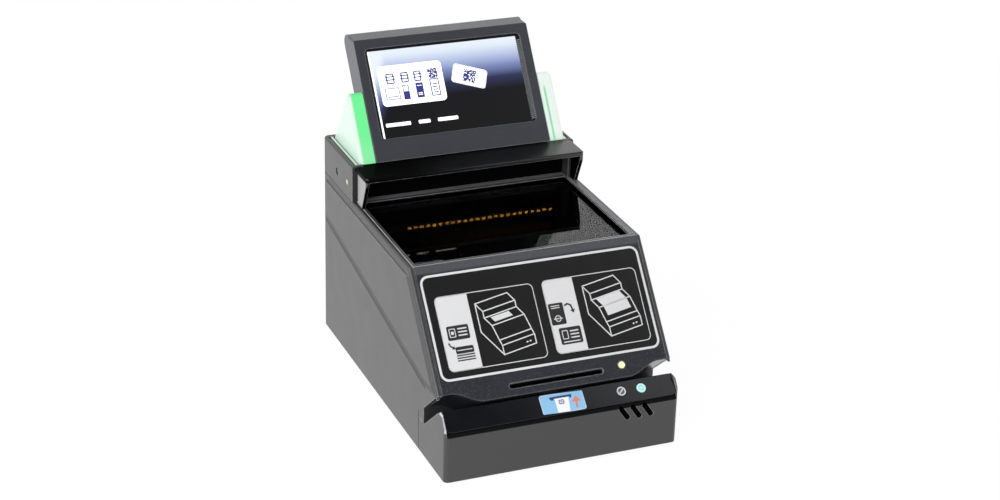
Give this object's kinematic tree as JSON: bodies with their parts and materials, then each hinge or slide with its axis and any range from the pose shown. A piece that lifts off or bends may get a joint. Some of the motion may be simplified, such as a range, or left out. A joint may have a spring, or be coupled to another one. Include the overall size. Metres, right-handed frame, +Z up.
{
  "type": "passport reader",
  "caption": "Desktop full-page document reader with a hooded glass window, a swipe slot in front, a small tilted display and green signal lights.",
  "frame": {"origin": "bottom centre of the whole object's box, on the surface that the feet stand on", "axes": "+X to the user's right, +Y from the slot module in front to the back, +Z up"},
  "size_m": [0.1446, 0.2176, 0.1903],
  "materials": {
    "housing_plastic": "fine moulded texture, dark anthracite",
    "panel_plastic": "fine moulded texture, near black",
    "bezel_gloss": "polished black",
    "label_print": "printed polyester overlay with white line drawings",
    "window_glass": "flat polished glass",
    "chamber_black": "light-absorbing black",
    "signal_green": "translucent satin, lit green",
    "screen": "lit colour screen",
    "lens_glass": "coated lens glass",
    "circuit_board": "green solder mask with parts",
    "amber_lamps": "amber lamps on a black board",
    "lamp_lens": "lit pale green lens",
    "side_lamp_lens": "lit amber lens",
    "key_white": "grey cap with a white ring",
    "key_green": "lit mint cap",
    "sticker_print": "printed film",
    "steel": "zinc plated",
    "rubber": "soft matte",
    "speaker_black": "black cone and frame",
    "reader_plastic": "glass-filled black"
  },
  "bodies": {
    "root": {"main_housing": "housing_plastic", "base_plate": "housing_plastic", "rubber_feet": "rubber", "base_screws": "steel", "data_socket": "steel", "power_socket": "reader_plastic", "front_panel": "panel_plastic", "front_label": "label_print", "status_lamp": "lamp_lens", "card_reader": "reader_plastic", "glass_frame": "panel_plastic", "document_glass": "window_glass", "radio_antenna": "circuit_board", "light_chamber": "chamber_black", "camera_board": "circuit_board", "camera_barrel": "reader_plastic", "camera_lens": "lens_glass", "lighting_strips": "circuit_board", "hood_housing": "housing_plastic", "hood_visor": "panel_plastic", "hood_screws": "steel", "side_lamp": "side_lamp_lens", "amber_strip": "amber_lamps", "display_front_frame": "panel_plastic", "display_rear_cover": "panel_plastic", "display_screen": "screen", "display_stand": "housing_plastic", "right_light": "signal_green", "left_light": "signal_green", "right_light_board": "circuit_board", "left_light_board": "circuit_board", "slot_module_housing": "housing_plastic", "slot_module_bezel": "bezel_gloss", "key_board": "circuit_board", "slot_sticker": "sticker_print", "loudspeaker": "speaker_black", "head_spring": "steel", "main_board": "circuit_board"},
    "left_key": {"left_key": "key_white"},
    "right_key": {"right_key": "key_green"},
    "read_head": {"read_head": "steel"}
  },
  "joints": [
    {"name": "left_key_press", "type": "slide", "parent": "root", "child": "left_key", "axis": [0, 0.6532, -0.7572], "range_m": [0, 0.0005], "stiffness_N_per_m": 1200},
    {"name": "right_key_press", "type": "slide", "parent": "root", "child": "right_key", "axis": [0, 0.6532, -0.7572], "range_m": [0, 0.0005], "stiffness_N_per_m": 1200},
    {"name": "read_head_float", "type": "slide", "parent": "root", "child": "read_head", "axis": [0, -0.6408, -0.7677], "range_m": [0, 0.0006], "stiffness_N_per_m": 1500, "deforming": ["head_spring"]}
  ]
}
